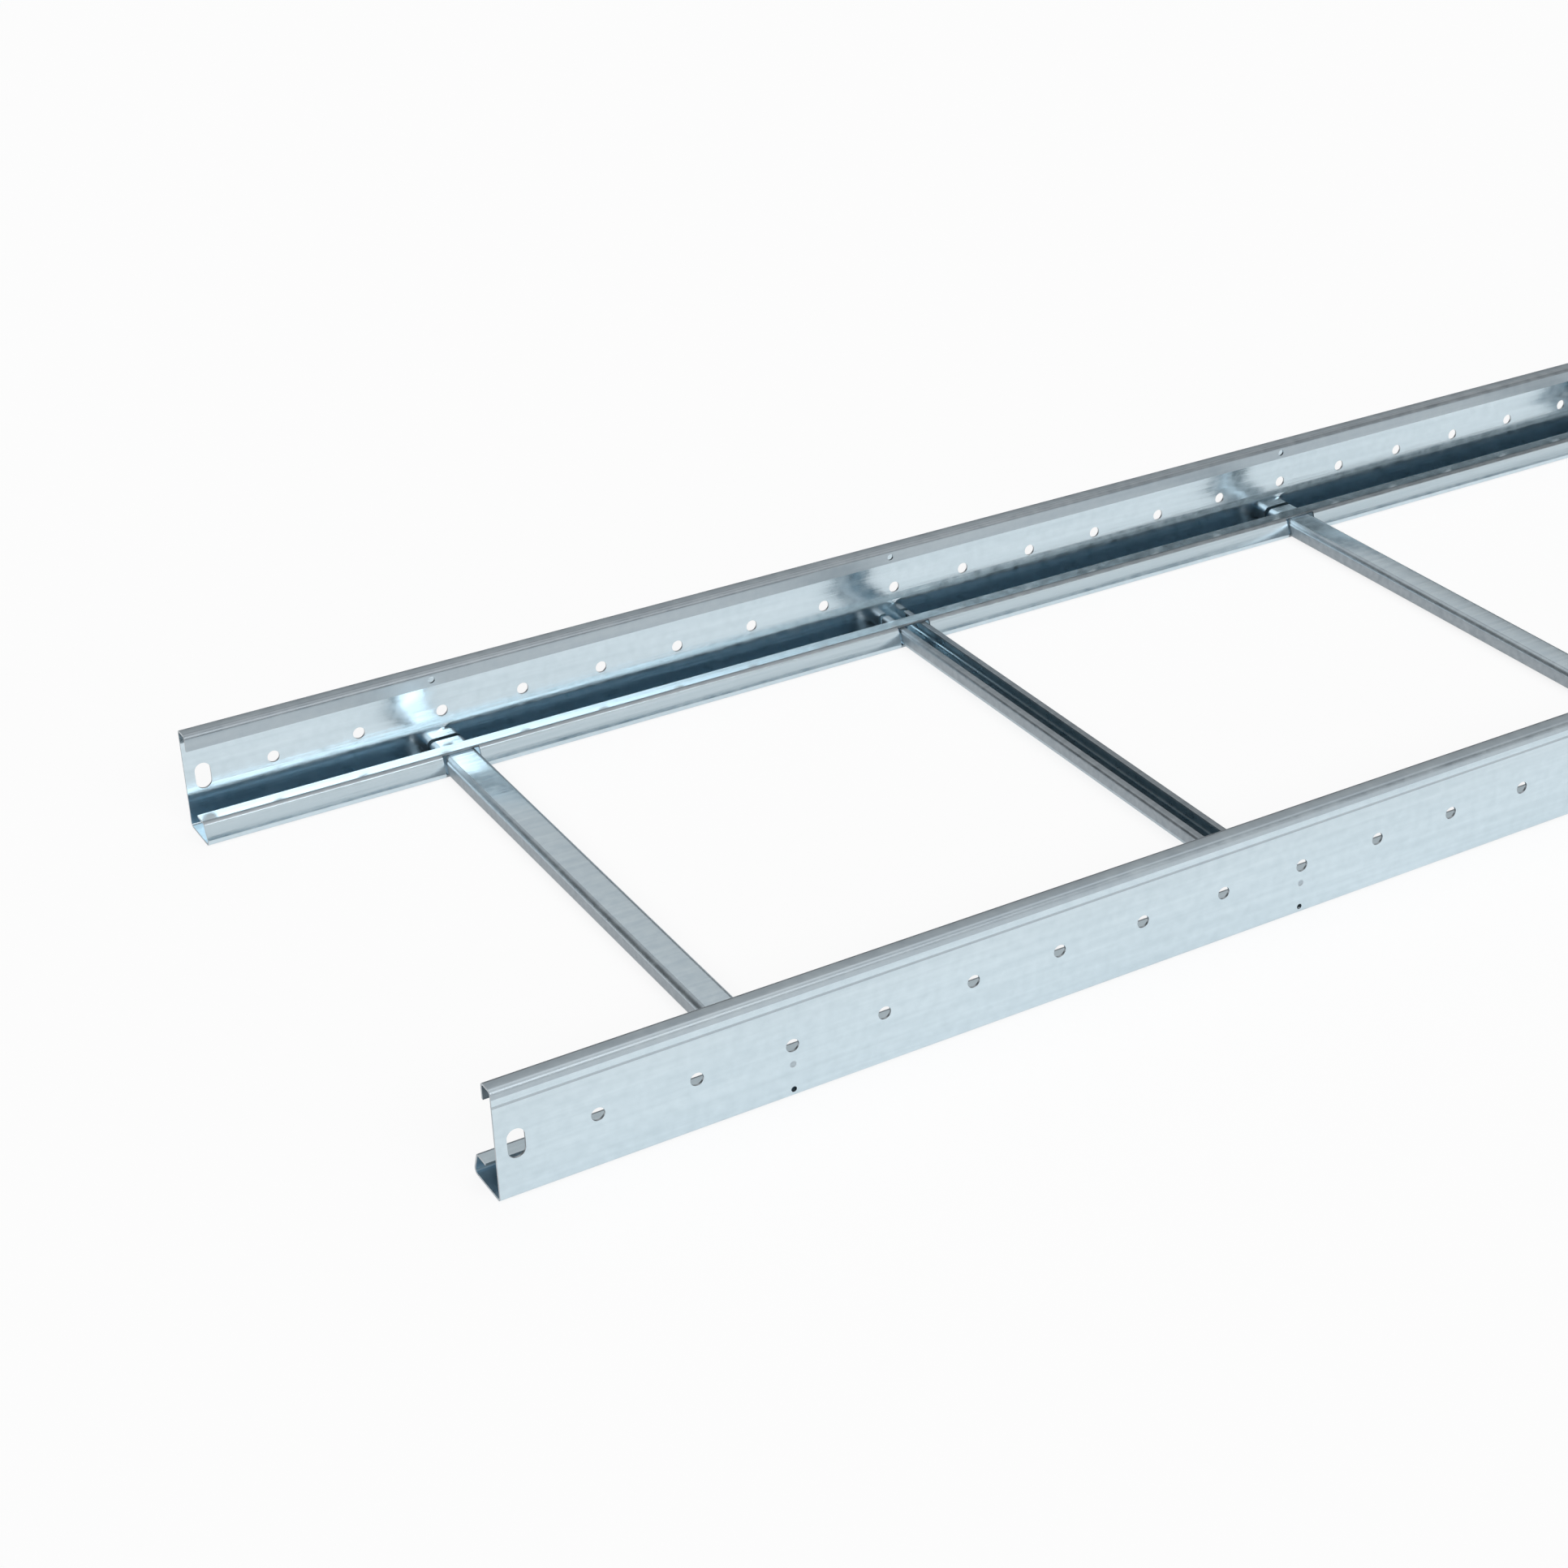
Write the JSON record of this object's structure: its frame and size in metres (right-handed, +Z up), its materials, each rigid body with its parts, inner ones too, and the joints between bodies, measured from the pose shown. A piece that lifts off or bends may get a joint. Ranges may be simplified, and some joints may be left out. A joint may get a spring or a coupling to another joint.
{
  "type": "cable ladder section",
  "caption": "Straight galvanised cable ladder section with bent sheet side rails, a row of web holes and lipped channel rungs laid alternately face up and slot up.",
  "frame": {"origin": "middle of the footprint, on the underside of the rails", "axes": "+X along the rails, +Y across towards the back rail, +Z up out of the cable bed"},
  "size_m": [3, 0.4, 0.06],
  "materials": {
    "rail_sheet": "zinc coated sheet, satin with faint mottling",
    "rung_sheet": "zinc coated sheet, satin with faint mottling"
  },
  "bodies": {
    "root": {"side_rail_front": "rail_sheet", "side_rail_back": "rail_sheet", "rung_01": "rung_sheet", "rung_02": "rung_sheet", "rung_03": "rung_sheet", "rung_04": "rung_sheet", "rung_05": "rung_sheet", "rung_06": "rung_sheet", "rung_07": "rung_sheet", "rung_08": "rung_sheet", "rung_09": "rung_sheet", "rung_10": "rung_sheet"}
  },
  "joints": []
}
